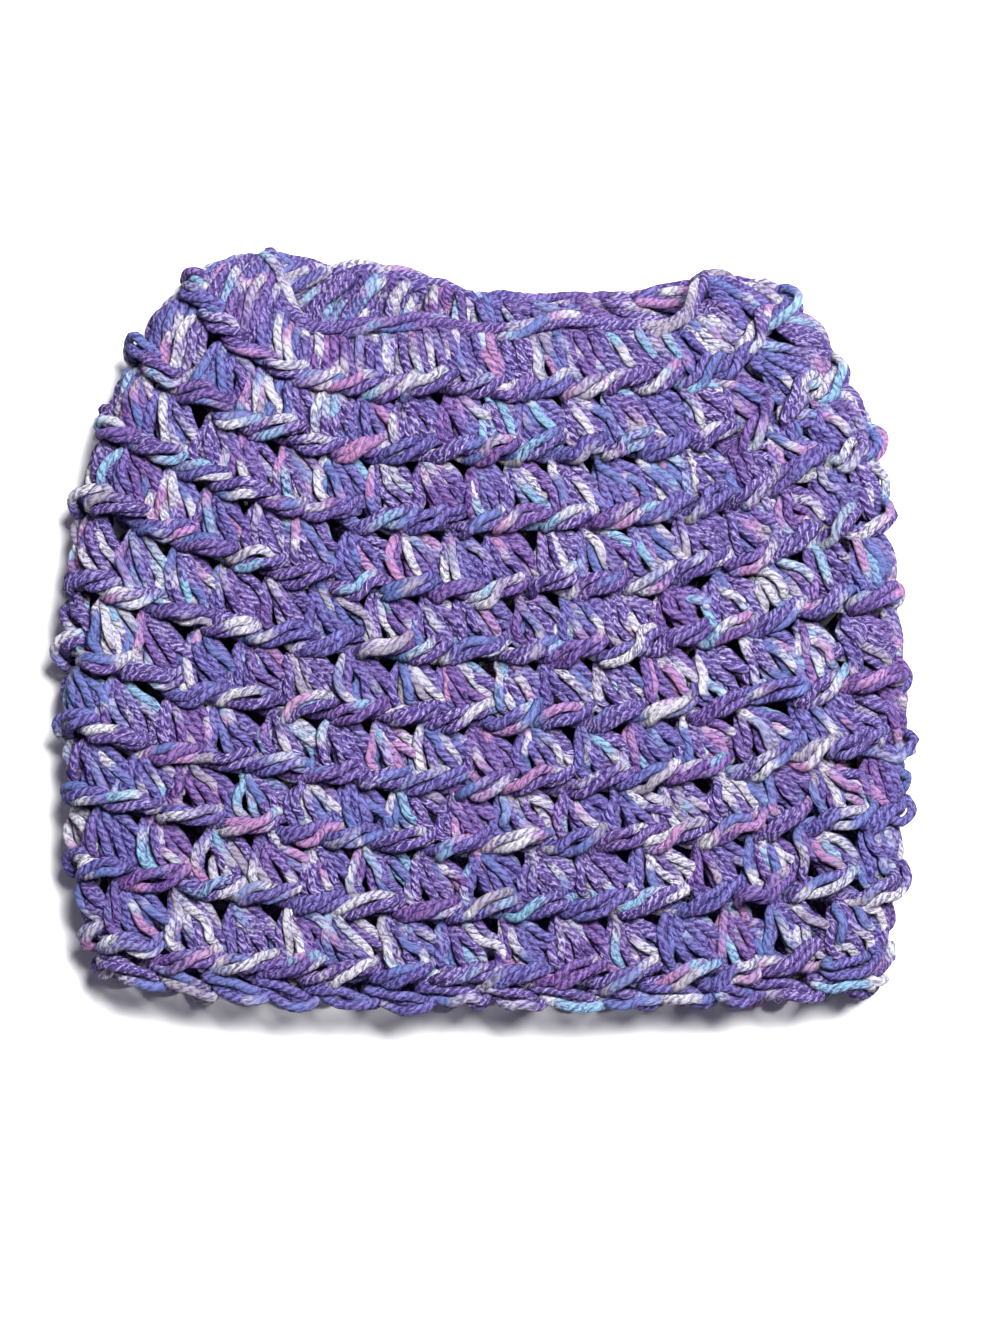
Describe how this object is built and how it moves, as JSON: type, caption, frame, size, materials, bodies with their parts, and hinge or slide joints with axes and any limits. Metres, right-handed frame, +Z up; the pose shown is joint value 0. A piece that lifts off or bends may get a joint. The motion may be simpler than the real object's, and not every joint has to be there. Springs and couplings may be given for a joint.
{
  "type": "ponytail beanie",
  "caption": "Chunky crocheted tube hat laid flat, open at the hem for the head and at the top for a ponytail or bun",
  "frame": {"origin": "On the surface that the hat lies on, below the middle of its outline", "axes": "+X across the flat hat, +Y towards the ponytail opening, +Z up from the surface"},
  "size_m": [0.2432, 0.215, 0.0308],
  "materials": {
    "yarn": "soft bulky yarn of three strands, purple flecked with white, sky blue, pink and grey"
  },
  "bodies": {
    "root": {"opening_edge": "yarn", "round_01": "yarn", "round_02": "yarn", "round_03": "yarn", "round_04": "yarn", "round_05": "yarn", "round_06": "yarn", "round_07": "yarn", "round_08": "yarn", "round_09": "yarn", "round_10": "yarn", "hem_edge": "yarn"}
  },
  "joints": []
}
